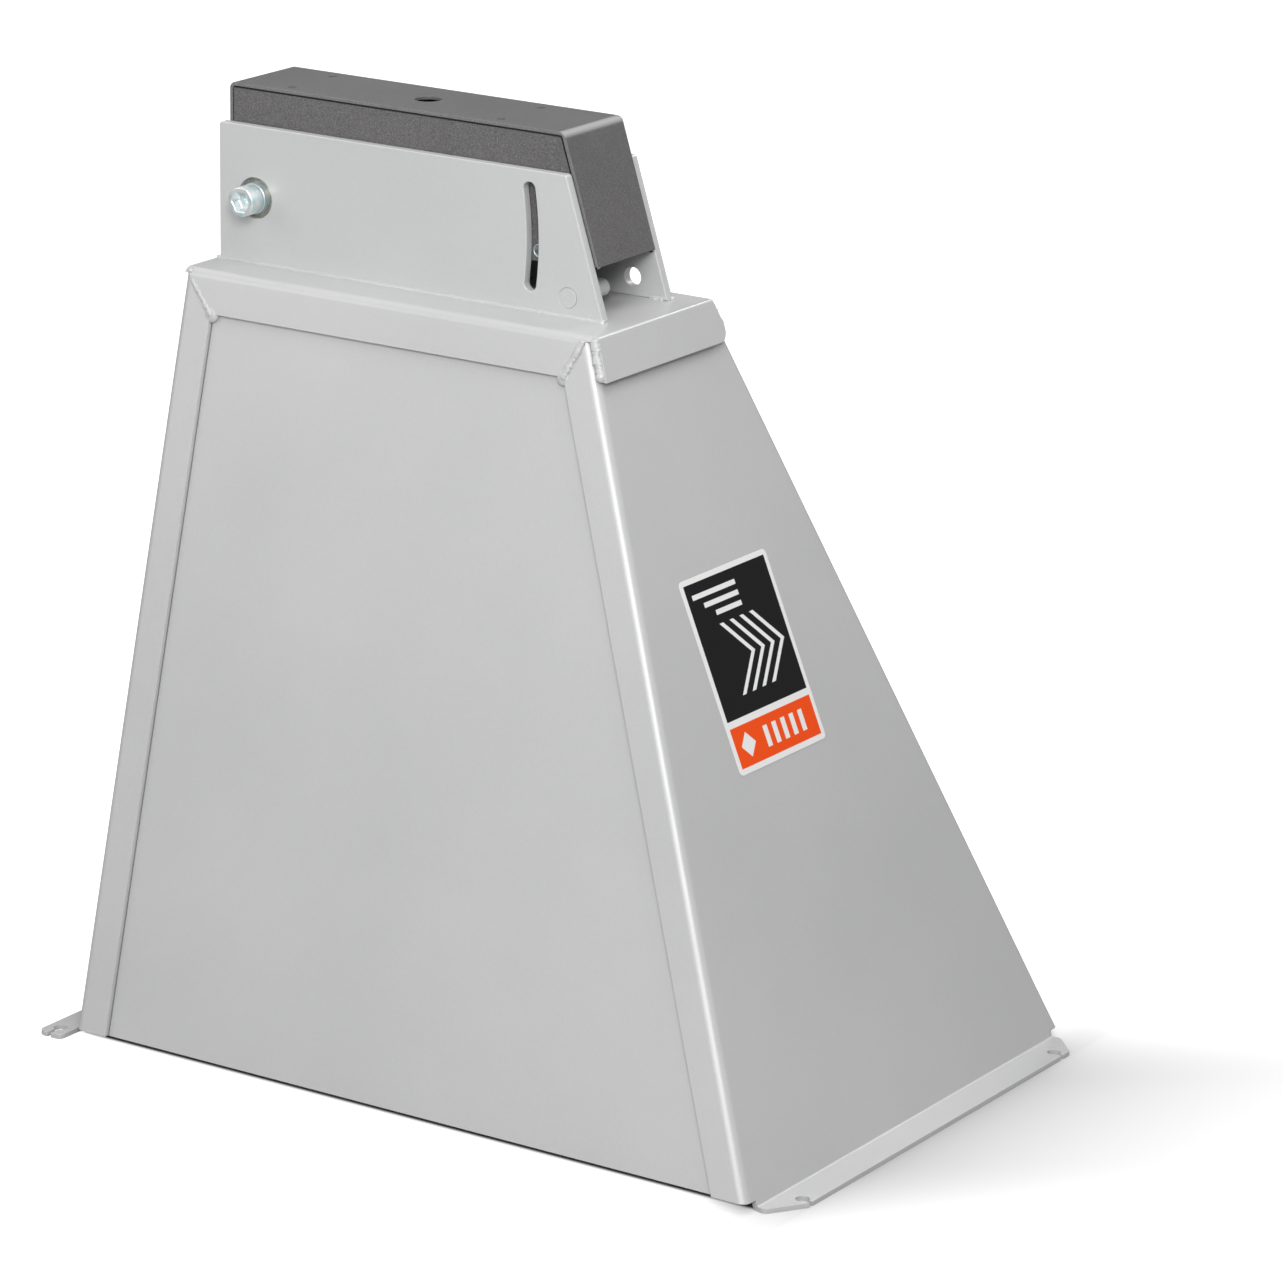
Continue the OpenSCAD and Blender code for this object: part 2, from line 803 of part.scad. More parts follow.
// Short welds inside the head, in the corner between each cheek and the strip
module head_stitches() {
    y0 = head_front + head_t;
    z1 = head_top - head_t;
    x0 = head_left + head_t;
    color("dimgray")
    both_cheeks() {
        for (x = [head_left + stitch_inset, head_right - stitch_inset - stitch_l])
            translate([x, y0, z1 - stitch_w])
                cube([stitch_l, stitch_w, stitch_w]);
        translate([x0, y0, z1 - stitch_drop - stitch_l])
            cube([stitch_w, stitch_w, stitch_l]);
    }
}

// Pivot boss: its disc turns in the plate's hole and its spigot is welded into the cheek
module boss() {
    difference() {
        union() {
            y_rod(pivot_x, pivot_z, pivot_hole_d / 2 - run_fit, boss_face, head_front);
            y_rod(pivot_x, pivot_z, spigot_d / 2, boss_face, head_front + spigot_l);
        }
        y_rod(pivot_x, pivot_z, screw_d / 2 + snug, boss_face - past, head_front + spigot_l + past);
    }
}

module front_boss() {
    color("dimgray") boss();
}

module rear_boss() {
    color("dimgray") rear_side() boss();
}

// Zinc-plated sleeves between the bosses and the screw heads
module pivot_sleeves() {
    color("lightgray")
    both_cheeks()
        difference() {
            y_rod(pivot_x, pivot_z, sleeve_d / 2, boss_face - sleeve_l, boss_face);
            y_rod(pivot_x, pivot_z, screw_d / 2 + sleeve_play, boss_face - sleeve_l - past,
                  boss_face + past);
        }
}

// Socket-head screws that hold the sleeves to the bosses
module pivot_screws() {
    y_seat = boss_face - sleeve_l;
    head_chamfer = 1;
    color("lightgray")
    both_cheeks()
        difference() {
            union() {
                y_rod(pivot_x, pivot_z, screw_head_d / 2, y_seat - screw_d + head_chamfer, y_seat);
                translate([pivot_x, y_seat - screw_d + head_chamfer, pivot_z])
                    rotate([90, 0, 0])
                        cylinder(r1 = screw_head_d / 2, r2 = screw_head_d / 2 - head_chamfer,
                                 h = head_chamfer);
                y_rod(pivot_x, pivot_z, screw_d / 2, y_seat - head_chamfer, y_seat + screw_l);
            }
            translate([pivot_x, y_seat - screw_d + socket_depth, pivot_z])
                rotate([90, 0, 0])
                    cylinder(d = socket_af / cos(30), h = socket_depth + past, $fn = 6);
        }
}

// Hexagonal weld nuts behind the cheeks, each with a collar that fills its clamp hole
module clamp_nuts() {
    y0 = head_front + head_t;
    color("lightgray")
    both_cheeks()
        difference() {
            union() {
                translate([clamp_x, y0 + nut_t, clamp_z])
                    rotate([90, 0, 0])
                        cylinder(d = nut_af / cos(30), h = nut_t, $fn = 6);
                y_rod(clamp_x, clamp_z, clamp_hole_d / 2 - snug, head_front, y0 + nut_t);
            }
            y_rod(clamp_x, clamp_z, nut_bore_d / 2, head_front - past, y0 + nut_t + past);
        }
}

// Earthing stud pressed flush into the front cheek, with its shank inside the head
module cheek_stud() {
    color("dimgray") {
        y_rod(stud_x, stud_z, stud_head_d / 2, head_front, head_front + stud_head_t);
        y_rod(stud_x, stud_z, stud_d / 2, head_front, head_front + stud_l);
    }
}

left_side();
right_side();
front_panel();
rear_panel();
top_cap();
mitre_welds();
lip_welds();
panel_stitches();
front_plate();
rear_plate();
plate_welds();
stop_stud();
label_plate();
head_strip();
front_cheek();
rear_cheek();
head_stitches();
front_boss();
rear_boss();
pivot_sleeves();
pivot_screws();
clamp_nuts();
cheek_stud();
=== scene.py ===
import math
import bpy
import bmesh
from mathutils import Matrix, Vector, noise


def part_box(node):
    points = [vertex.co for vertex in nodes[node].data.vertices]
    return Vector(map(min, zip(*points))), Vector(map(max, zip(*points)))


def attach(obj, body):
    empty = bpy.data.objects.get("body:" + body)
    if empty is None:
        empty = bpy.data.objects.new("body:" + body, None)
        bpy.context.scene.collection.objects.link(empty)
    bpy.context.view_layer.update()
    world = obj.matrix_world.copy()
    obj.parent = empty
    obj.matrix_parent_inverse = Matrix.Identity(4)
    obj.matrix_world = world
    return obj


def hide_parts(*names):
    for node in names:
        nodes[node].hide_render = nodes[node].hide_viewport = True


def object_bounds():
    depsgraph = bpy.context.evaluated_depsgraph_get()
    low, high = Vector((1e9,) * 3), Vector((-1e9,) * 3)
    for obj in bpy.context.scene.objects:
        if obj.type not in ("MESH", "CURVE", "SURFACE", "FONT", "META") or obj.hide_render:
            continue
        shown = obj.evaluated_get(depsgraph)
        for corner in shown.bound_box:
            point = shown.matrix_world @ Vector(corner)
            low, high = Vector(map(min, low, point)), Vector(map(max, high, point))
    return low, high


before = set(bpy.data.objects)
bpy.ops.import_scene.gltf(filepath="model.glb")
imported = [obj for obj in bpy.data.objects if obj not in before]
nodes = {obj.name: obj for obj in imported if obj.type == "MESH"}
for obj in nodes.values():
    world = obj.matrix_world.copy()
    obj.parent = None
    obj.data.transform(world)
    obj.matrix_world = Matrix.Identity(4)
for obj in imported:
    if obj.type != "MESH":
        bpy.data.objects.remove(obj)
cad_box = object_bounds()

# Camera at the photograph's viewing angle. It was fitted to the stand's own corners, and it
# stands 4.7 m away with a long lens, so that the upright edges stay nearly parallel.
camera_place = (2.48531, -3.67393, 1.67739)
camera_turn = math.radians(33.372)
camera_down = math.radians(16.843)
camera_roll = math.radians(0.850)
camera_film = 36
camera_lens = 164.42
camera = bpy.data.objects.new("camera", bpy.data.cameras.new("camera"))
camera.data.sensor_width = camera_film
camera.data.lens = camera_lens
camera.matrix_world = (Matrix.Translation(camera_place)
                       @ Matrix.Rotation(camera_turn, 4, "Z")
                       @ Matrix.Rotation(math.pi / 2 - camera_down, 4, "X")
                       @ Matrix.Rotation(camera_roll, 4, "Z"))
bpy.context.scene.collection.objects.link(camera)
bpy.context.scene.camera = camera

# Folded sheets of the plinth: two side walls with stiles and floor flanges, two panels lapped
# behind the stiles, and the cap with its lips. They are 4 mm and 3 mm steel sheet, laser cut
# and bent, with a satin silver-grey powder coat.
plinth_length = 0.644
cap_length = 0.387
stile = 0.031
cap_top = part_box("top_cap")[1].z
lip_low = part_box("top_cap")[0].z
wall_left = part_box("top_cap")[0].x
wall_right = wall_left + plinth_length
right_slope = (plinth_length - cap_length) / cap_top
sheet_edge = 0.0003
cap_edge = 0.0002
edge_segments = 2
same_place = 0.00001
flat_angle = math.radians(0.5)
sharp_angle = math.radians(35)
paint_dark = (0.468, 0.471, 0.471, 1)
paint_light = (0.513, 0.515, 0.514, 1)
paint_metallic = 0.10
cloud_scale = 5
peel_scale = 420
flake_scale = 2600
gloss_scale = 30
# Colour of the painted shade in the gaps round the lapped panels
painted_seam_shade = (0.20, 0.20, 0.20, 1)
seam_width = 0.0014


class Value:
    """An output of a material's nodes, on which Python's operators add Math nodes."""

    def __init__(self, tree, socket):
        self.tree = tree
        self.socket = socket

    def node(self, kind, settings, sockets, output=0):
        """Adds a node: its settings first, then the values or links of its sockets."""
        made = self.tree.nodes.new(kind)
        for name, setting in settings.items():
            setattr(made, name, setting)
        for name, value in sockets.items():
            if isinstance(value, Value):
                self.tree.links.new(value.socket, made.inputs[name])
            else:
                made.inputs[name].default_value = value
        return Value(self.tree, made.outputs[output])

    def math(self, operation, *values):
        """Adds a Math node on this value and up to two more."""
        return self.node("ShaderNodeMath", {"operation": operation},
                         dict(enumerate([self, *values])))

    def __add__(self, other):
        return self.math("ADD", other)

    def __sub__(self, other):
        return self.math("SUBTRACT", other)

    def __rsub__(self, other):
        return self.node("ShaderNodeMath", {"operation": "SUBTRACT"}, {0: other, 1: self})

    def __mul__(self, other):
        return self.math("MULTIPLY", other)

    __radd__ = __add__
    __rmul__ = __mul__

    def between(self, low, high):
        """0 below low and 1 above high, with a smooth step from one to the other."""
        return self.node("ShaderNodeMapRange", {"interpolation_type": "SMOOTHSTEP"},
                         {"Value": self, "From Min": low, "From Max": high})

    def noise(self, scale, detail=2.0):
        """Cloudy pattern of 0 to 1 at this place, with scale lumps to the metre."""
        return self.node("ShaderNodeTexNoise", {},
                         {"Vector": self, "Scale": scale, "Detail": detail})

    def bump(self, strength, distance):
        """Normal of a surface whose height is this value of 0 to 1, times a distance."""
        return self.node("ShaderNodeBump", {},
                         {"Strength": strength, "Distance": distance, "Height": self})

    def blend(self, dark, light):
        """Colour between two colours, with this value as the share of the second."""
        return self.node("ShaderNodeMix", {"data_type": "RGBA"},
                         {"Factor": self, 6: dark, 7: light}, 2)

    def axes(self):
        """The three coordinates of this place."""
        return [self.node("ShaderNodeSeparateXYZ", {}, {"Vector": self}, axis)
                for axis in range(3)]


def new_finish(name):
    """A new material, its shader and the place on the piece in metres."""
    material = bpy.data.materials.new(name)
    material.use_nodes = True
    tree = material.node_tree
    place = tree.nodes.new("ShaderNodeTexCoord").outputs["Object"]
    return material, tree.nodes["Principled BSDF"], Value(tree, place)


def feed(shader, **looks):
    """Links values to a shader's sockets, or sets plain numbers and colours on them."""
    for name, look in looks.items():
        socket = shader.inputs[name.replace("_", " ")]
        if isinstance(look, Value):
            look.tree.links.new(look.socket, socket)
        else:
            socket.default_value = look


def silver_paint(name, dark=paint_dark, light=paint_light, seam_shade_mask=None):
    """Satin powder coat: a fine orange peel, faint clouds and tiny pale flakes. A seam mask
    gives, for a place on a sheet, the share of painted dark shade there."""
    material, shader, place = new_finish(name)
    clouds = place.noise(cloud_scale, 3)
    peel = place.noise(peel_scale, 1)
    flakes = place.noise(flake_scale, 0)
    tone = 0.5 * clouds + 0.2 * peel + 0.3 * flakes
    height = 0.8 * peel + 0.2 * flakes
    colour = tone.between(0.3, 0.7).blend(dark, light)
    if seam_shade_mask:
        colour = seam_shade_mask(place).blend(colour, painted_seam_shade)
    feed(shader, Base_Color=colour, Roughness=0.33 + 0.10 * place.noise(gloss_scale, 2),
         Metallic=paint_metallic, Normal=height.bump(0.22, 0.00012))
    return material


def panel_seam_shade(place):
    """1 in the narrow gap that the stiles and the lip leave around a panel, where shade is
    painted dark.
    """
    x, _, z = place.axes()
    from_left = x - (wall_left + stile)
    from_right = (wall_right - stile) - right_slope * z - x
    nearest = from_left.math("MINIMUM", from_right.math("MINIMUM", lip_low - z))
    return 1 - nearest.between(seam_width * 0.6, seam_width)


def coat(name, finish, smooth):
    """Gives a CAD node its finish, shades its faces smooth or flat, and returns it."""
    for place in nodes[name].material_slots:
        place.material = finish
    for face in nodes[name].data.polygons:
        face.use_smooth = smooth
    return nodes[name]


def dress(names, finish, edge):
    """Gives CAD nodes their finish, rounds their sharp edges and shades their folds smooth."""
    for name in names:
        piece = coat(name, finish, True)
        piece.modifiers.new("merged", "WELD").merge_threshold = same_place
        flats = piece.modifiers.new("flats", "DECIMATE")
        flats.decimate_type = "DISSOLVE"
        flats.angle_limit = flat_angle
        rounding = piece.modifiers.new("edges", "BEVEL")
        rounding.width = edge
        rounding.segments = edge_segments
        rounding.limit_method = "ANGLE"
        rounding.angle_limit = sharp_angle
        rounding.use_clamp_overlap = False
        rounding.loop_slide = False
        piece.modifiers.new("shading", "WEIGHTED_NORMAL")


silver = silver_paint("silver_paint")
dress(["left_side", "right_side"], silver, sheet_edge)
dress(["front_panel", "rear_panel"], silver_paint("panel_paint", seam_shade_mask=panel_seam_shade), sheet_edge)
dress(["top_cap"], silver, cap_edge)

# Weld beads of the plinth: hand-laid runs over the four mitres between the cap's lips and the
# stiles, down the two ends of the right lip, and short stitches inside along the panels.
# Each is a row of overlapping ripples of weld metal, painted over with the plinth.
plinth_depth = 0.475
cap_depth = 0.166
sheet = 0.004
face_slope = (plinth_depth - cap_depth) / 2 / cap_top
face_lean = math.atan(face_slope)
right_lean = math.atan(right_slope)
ripple_pitch = 0.0015
ripple_length = 2.6
ripple_lean = math.radians(24)
stray_scale = 700
stray_share = 0.18
swell_scale = 260
swell_share = 0.25


def on_face(side, x, z):
    """Point on the front face, side -1, or on the rear face, side 1."""
    return Vector((x, side * (plinth_depth / 2 - face_slope * z), z))


def right_x(z):
    """Outer face of the leaning right wall at height z."""
    return wall_right - right_slope * z


def bead_pattern(segments, rings):
    """Mesh of a ball 1 m across, which ripples and drops are squeezed copies of."""
    ball = bmesh.new()
    bmesh.ops.create_uvsphere(ball, u_segments=segments, v_segments=rings, radius=0.5)
    mesh = bpy.data.meshes.new("bead_pattern")
    ball.to_mesh(mesh)
    ball.free()
    return mesh


def add_copy(shape, pattern, place):
    """Adds a moved, turned and squeezed copy of a mesh to a bmesh."""
    copy = pattern.copy()
    copy.transform(place)
    shape.from_mesh(copy)
    bpy.data.meshes.remove(copy)


ripple_pattern = bead_pattern(12, 7)
drop_pattern = bead_pattern(20, 12)


def lay_ripples(shape, start, end, out, width, height, pitch=ripple_pitch):
    """Adds a run of weld ripples from start to end, which stand up along out. Each strays a
    little to the side and swells a little, by a noise of its place."""
    along = (end - start).normalized()
    across = out.cross(along).normalized()
    count = max(2, round((end - start).length / pitch))
    for i in range(count + 1):
        place = start.lerp(end, i / count)
        stray = noise.noise(place * stray_scale)
        swell = 1 + swell_share * noise.noise(place * swell_scale)
        turn = Matrix((along, across, along.cross(across))).transposed().to_4x4()
        lean = Matrix.Rotation(ripple_lean, 4, "Y")
        size = Matrix.Diagonal((ripple_length * pitch, width * swell, height * 2 * swell, 1))
        shift = Matrix.Translation(place + across * stray * width * stray_share)
        add_copy(shape, ripple_pattern, shift @ turn @ lean @ size)


def lay_drop(shape, place, width, height, out):
    """Adds the round drop that a run of weld ends in."""
    turn = out.to_track_quat("Z", "Y").to_matrix().to_4x4()
    size = Matrix.Diagonal((width, width, height * 2, 1))
    add_copy(shape, drop_pattern, Matrix.Translation(place) @ turn @ size)


def finish_piece(shape, name, finish, slot, body, *replaced):
    """Turns a bmesh into a piece that rides on a body and stands for the CAD nodes named."""
    mesh = bpy.data.meshes.new(name)
    for face in shape.faces:
        face.smooth = True
    shape.to_mesh(mesh)
    shape.free()
    mesh.materials.append(finish)
    piece = bpy.data.objects.new(name, mesh)
    bpy.context.scene.collection.objects.link(piece)
    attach(piece, body)
    if replaced:
        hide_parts(*replaced)
    return piece


# A drop is a width and a height, and so is a bead, with its ripples' pitch where that differs
left_mitre_width = 0.0042
left_mitre_bare = 0.20
right_mitre_width = 0.0062
right_mitre_bare = 0.03
mitre_rise = 0.36
mitre_foot_drop = (0.0140, 0.0034)
mitre_foot_sunk = 0.0024
mitre_drop = (0.0058, 0.0019)
mitre_drop_share = 0.22
corner_drop = 0.0030
corner_in = 1.6
corner_sunk = 0.8
mitre_beads = bmesh.new()
for side in (-1, 1):
    out = Vector((0, side * math.cos(face_lean), math.sin(face_lean)))
    for low_x, high_x, bare, width in (
            (wall_left + stile, wall_left + sheet, left_mitre_bare, left_mitre_width),
            (right_x(lip_low) - stile, right_x(cap_top) - sheet,
             right_mitre_bare, right_mitre_width)):
        low = on_face(side, low_x, lip_low)
        high = on_face(side, high_x, cap_top - sheet).lerp(low, bare)
        lay_ripples(mitre_beads, low, high, out, width, width * mitre_rise)
        lay_drop(mitre_beads, low - out * mitre_foot_sunk, *mitre_foot_drop, out)
        lay_drop(mitre_beads, low.lerp(high, mitre_drop_share), *mitre_drop, out)
    corner = on_face(side, wall_left + corner_drop * corner_in, cap_top - corner_drop)
    corner.y -= side * corner_drop * corner_sunk
    lay_drop(mitre_beads, corner, 2 * corner_drop, corner_drop, out)
finish_piece(mitre_beads, "mitre_beads", silver, "silver_paint", "stand", "mitre_welds")

# The rear run stops short of the lip's rounded lower corner
lip_bead = (0.0072, 0.0023)
lip_drop = (0.0080, 0.0026)
lip_out = 0.0026
lip_back = 0.0030
lip_bead_top = cap_top - 0.0034
lip_bead_feet = ((-1, lip_low + 0.0035), (1, lip_low + 0.0125))
lip_beads = bmesh.new()
for side, foot in lip_bead_feet:
    high, low = [on_face(side, right_x(z) + lip_out, z) - Vector((0, side * lip_back, 0))
                 for z in (lip_bead_top, foot)]
    out = Vector((0.5, side, 0.1)).normalized()
    lay_ripples(lip_beads, high, low, out, *lip_bead)
    lay_drop(lip_beads, low, *lip_drop, out)
finish_piece(lip_beads, "lip_beads", silver, "silver_paint", "stand", "lip_welds")

stitch_heights = (0.060, 0.190, 0.320, 0.450)
stitch_length = 0.030
stitch_sunk = 0.0012
stitch_bead = (0.005, 0.0022, 0.002)
panel_margin = 0.014
lean_margin = panel_margin / math.cos(right_lean)
panel_beads = bmesh.new()
for side in (-1, 1):
    out = Vector((0, -side * math.cos(face_lean), -math.sin(face_lean)))
    shift = Vector((0, -side * ((sheet + stitch_sunk) / math.cos(face_lean)), 0))
    for z in stitch_heights:
        top = z + stitch_length
        for low_x, high_x in ((wall_left + panel_margin, wall_left + panel_margin),
                              (right_x(z) - lean_margin, right_x(top) - lean_margin)):
            lay_ripples(panel_beads, on_face(side, low_x, z) + shift,
                        on_face(side, high_x, top) + shift, out, *stitch_bead)
finish_piece(panel_beads, "panel_beads", silver, "silver_paint", "stand", "panel_stitches")

# Bracket plates: two upright plates of 8 mm steel with a pivot hole and a curved clamp slot.
# They are laser cut, welded to the cap along their outer feet, tacked inside and painted with
# it. A stud is pressed flush into the front one as the rest of the lowered head.
plate_edge = 0.0009
stop_edge = 0.0004
# The plates' paint is the plinth's, painted paler to stand in for the extra light they catch
lit_plate_dark = (0.505, 0.510, 0.512, 1)
lit_plate_light = (0.552, 0.556, 0.557, 1)
lit_plate_paint = silver_paint("lit_plate_paint", lit_plate_dark, lit_plate_light)
dress(["front_plate", "rear_plate"], lit_plate_paint, plate_edge)
dress(["stop_stud"], lit_plate_paint, stop_edge)

plate_low, plate_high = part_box("front_plate")
rear_low, rear_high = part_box("rear_plate")
foot_start = wall_left + 0.002
foot_end = plate_high.x - 0.001
foot_leg = 0.0026
foot_bead = (foot_leg * 1.6, foot_leg * 0.55, 0.0024)
foot_drop = (0.006, 0.0022)
tack_places = (wall_left + 0.012, plate_high.x - 0.010)
tack_length = 0.010
tack_bead = (0.006, 0.0028)
foot_beads = bmesh.new()
for face_y, side in ((plate_low.y, -1), (rear_high.y, 1)):
    out = Vector((0, side, 1)).normalized()
    start = Vector((foot_start, face_y, cap_top))
    end = Vector((foot_end, face_y, cap_top))
    lay_ripples(foot_beads, start, end, out, *foot_bead)
    lay_drop(foot_beads, end, *foot_drop, out)
for face_y, side in ((plate_high.y, 1), (rear_low.y, -1)):
    out = Vector((0, side, 1)).normalized()
    for x in tack_places:
        start = Vector((x - tack_length / 2, face_y, cap_top))
        end = start + Vector((tack_length, 0, 0))
        lay_ripples(foot_beads, start, end, out, *tack_bead)
finish_piece(foot_beads, "foot_beads", silver, "silver_paint", "stand", "plate_welds")

# Label on the leaning wall: printed film with a white rim, a black field and an orange foot,
# stuck on flat. Its chevrons and bars are a plain design of their own.
label_low, label_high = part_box("label_plate")
label_middle = (label_low + label_high) / 2
label_edge = 0.0001
label_black = (0.007, 0.007, 0.008, 1)
label_orange = (0.80, 0.070, 0.004, 1)
label_white = (0.74, 0.74, 0.73, 1)
print_edge = 0.00012
black_field = ((0, 0.0190), (0.0570, 0.0548), 0.0006)
orange_field = ((0, -0.0573), (0.0570, 0.0160), 0.0006)
diamond_middle = (-0.0390, -0.0573)
diamond_half = 0.0100
chevron_count = 4
chevron_tip = (0.0050, 0.0080)
chevron_pitch = 0.0140
chevron_reach = 0.0290
chevron_line = 0.0026
bar_corner = 0.0004
top_bar_count = 3
top_bar_place = (-0.0200, 0.0630)
top_bar_half = (0.0300, 0.0020)
top_bar_step = (0.0060, 0.0085)
foot_bar_count = 5
foot_bar_start = -0.0120
foot_bar_pitch = 0.0125
foot_bar_half = (0.0030, 0.0085)


def inside(distance):
    """Share of ink where a shape's distance is below 0, with a sharp printed edge."""
    return 1 - distance.between(-print_edge, print_edge)


def rounded_box(u, v, middle, half, radius):
    """Distance from a box with round corners, below 0 inside it."""
    over_u = (u - middle[0]).math("ABSOLUTE") - (half[0] - radius)
    over_v = (v - middle[1]).math("ABSOLUTE") - (half[1] - radius)
    out_u = over_u.math("MAXIMUM", 0)
    out_v = over_v.math("MAXIMUM", 0)
    corner = (out_u * out_u + out_v * out_v).math("SQRT")
    return corner + over_u.math("MAXIMUM", over_v).math("MINIMUM", 0) - radius


def chevron(u, v, tip, reach, line):
    """Distance from a chevron that points along u, below 0 inside it."""
    off = (v - tip[1]).math("ABSOLUTE")
    return ((u - tip[0] + off).math("ABSOLUTE") - line).math("MAXIMUM", off - reach)


def diamond(u, v, middle, half):
    """Distance from a square that stands on a corner, below 0 inside it."""
    return (u - middle[0]).math("ABSOLUTE") + (v - middle[1]).math("ABSOLUTE") - half


def printed_film():
    """Satin film whose print is placed from the middle of the label, along its two sides."""
    material, shader, place = new_finish("label_film")
    x, y, z = place.axes()
    u = y - label_middle.y
    v = (z - label_middle.z) * math.cos(right_lean) - (x - label_middle.x) * math.sin(right_lean)
    black_ink = inside(rounded_box(u, v, *black_field))
    orange_ink = inside(rounded_box(u, v, *orange_field))
    marks = inside(diamond(u, v, diamond_middle, diamond_half))
    for i in range(chevron_count):
        tip = (chevron_tip[0] + chevron_pitch * i, chevron_tip[1])
        arrow = chevron(u, v, tip, chevron_reach, chevron_line)
        marks = marks.math("MAXIMUM", inside(arrow))
    for i in range(top_bar_count):
        middle = (top_bar_place[0] + top_bar_step[0] * i, top_bar_place[1] - top_bar_step[1] * i)
        half = (top_bar_half[0] - top_bar_step[0] * i, top_bar_half[1])
        bar = rounded_box(u, v, middle, half, bar_corner)
        marks = marks.math("MAXIMUM", inside(bar))
    for i in range(foot_bar_count):
        middle = (foot_bar_start + foot_bar_pitch * i, diamond_middle[1])
        bar = rounded_box(u, v, middle, foot_bar_half, bar_corner)
        marks = marks.math("MAXIMUM", inside(bar))
    black_print = black_ink.blend(label_white, label_black)
    colour = marks.blend(orange_ink.blend(black_print, label_orange), label_white)
    feed(shader, Base_Color=colour, Roughness=0.34 + 0.08 * place.noise(90, 2),
         Specular_IOR_Level=0.2)
    return material


dress(["label_plate"], printed_film(), label_edge)

# Head: a strip of 3 mm sheet folded into the left wall, the top and the leaning end wall, with
# a cheek plate set in each side. It is welded inside and has an anthracite powder coat with a
# fine texture. Its folds and cut edges are painted paler, as highlights.
coat_dark = (0.066, 0.064, 0.065, 1)
coat_mid = (0.130, 0.126, 0.129, 1)
painted_glint_pale = (0.330, 0.325, 0.330, 1)
# Near-black painted shade in the gaps round the cheeks
painted_gap_shade = (0.012, 0.012, 0.012, 1)
painted_fold_highlight = (0.300, 0.296, 0.302, 1)
head_low, head_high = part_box("head_strip")
cheek_low, cheek_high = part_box("front_cheek")
end_wall = 0.102
end_slope = 0.32432
strip_edge = 0.0006
head_stud_edge = 0.0003
head_stitch_edge = 0.0008
cheek_gap = 0.0012
# Paler bands painted on the strip's cut edges and folds as highlights
cut_highlight_band = (0.0002, 0.0009)
cut_highlight_share = 0.25
fold_highlight_band = (0.0028, 0.0054)


def cheek_gap_shade(place):
    """1 in the narrow gap between a cheek's edges and the strip around it, painted near black as
    shade.
    """
    x, _, z = place.axes()
    from_end = (cheek_high.x - x) - end_slope * (z - cheek_low.z)
    nearest = (cheek_high.z - z).math("MINIMUM", (x - cheek_low.x).math("MINIMUM", from_end))
    return 1 - nearest.between(cheek_gap * 0.5, cheek_gap)


def strip_fold_highlights(place):
    """1 along the strip's two folds, and less on its cut edges: highlights painted where they
    catch the light.
    """
    x, y, z = place.axes()
    from_end = (head_high.x - x) - end_slope * (z - (head_high.z - end_wall))
    from_fold = (head_high.z - z) + from_end.math("MINIMUM", x - head_low.x)
    off_middle = (y - (head_low.y + head_high.y) / 2).math("ABSOLUTE")
    from_cut = (head_high.y - head_low.y) / 2 - off_middle
    cut = cut_highlight_share * (1 - from_cut.between(*cut_highlight_band))
    return cut.math("MAXIMUM", 1 - from_fold.between(*fold_highlight_band))


def anthracite_coat(name, marks=None, mark_colour=None):
    """Fine-textured powder coat, dark, with pale specks painted as the glints of its grain.
    Marks give, for a place on the piece, the share of another colour there: a painted highlight
    or shade."""
    material, shader, place = new_finish(name)
    grain = place.noise(1500, 2)
    fine = place.noise(3600, 0)
    clouds = place.noise(9, 2)
    tone = 0.55 * grain + 0.30 * fine + 0.15 * clouds
    base = tone.between(0.38, 0.62).blend(coat_dark, coat_mid)
    # Pale specks painted where the grain's tips would glint
    painted_glints = fine.between(0.60, 0.72)
    height = 0.7 * grain + 0.3 * fine
    colour = (painted_glints * 0.7).blend(base, painted_glint_pale)
    if marks:
        colour = marks(place).blend(colour, mark_colour)
    feed(shader, Base_Color=colour, Roughness=0.42 + 0.14 * grain, Specular_IOR_Level=0.4,
         Normal=height.bump(0.5, 0.0003))
    return material


anthracite = anthracite_coat("anthracite_coat")
strip_coat = anthracite_coat("strip_coat", strip_fold_highlights, painted_fold_highlight)
cheek_coat = anthracite_coat("cheek_coat", cheek_gap_shade, painted_gap_shade)
dress(["head_strip"], strip_coat, strip_edge)
coat("front_cheek", cheek_coat, False)
coat("rear_cheek", cheek_coat, False)
dress(["cheek_stud"], anthracite, head_stud_edge)
dress(["head_stitches"], anthracite, head_stitch_edge)

# Pivot: a zinc-plated socket-head screw and a turned sleeve on each side. The screw holds the
# sleeve against the head's boss, which turns in the bracket plate's hole. The weld nuts behind
# the cheeks' clamp holes are plated too, and the bosses have a darker, olive-grey turned finish.
zinc_edge = 0.0005
zinc_plain = (0.84, 0.86, 0.86, 1)
zinc_tint = (0.60, 0.76, 0.78, 1)
boss_plain = (0.34, 0.35, 0.32, 1)
boss_tint = (0.48, 0.49, 0.42, 1)
ring_scale = 2600
sleeve_low, sleeve_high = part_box("pivot_sleeves")
screws_low, screws_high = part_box("pivot_screws")
pivot_x = (sleeve_low.x + sleeve_high.x) / 2
pivot_z = (sleeve_low.z + sleeve_high.z) / 2
pair_y = (sleeve_low.y + sleeve_high.y) / 2
screw_head = (screws_high.x - screws_low.x) / 2
screw_reach = pair_y - screws_low.y
screw_shank = 0.008
screw_face = 0.046
head_seat = screw_face - 0.016
socket_across = 0.014
socket_corner = socket_across / 2 / math.cos(math.pi / 6)
socket_floor = screw_face - 0.008
thread_start = head_seat - 0.0085
thread_pitch = 0.002
thread_turns = 9
thread_depth = 0.0012


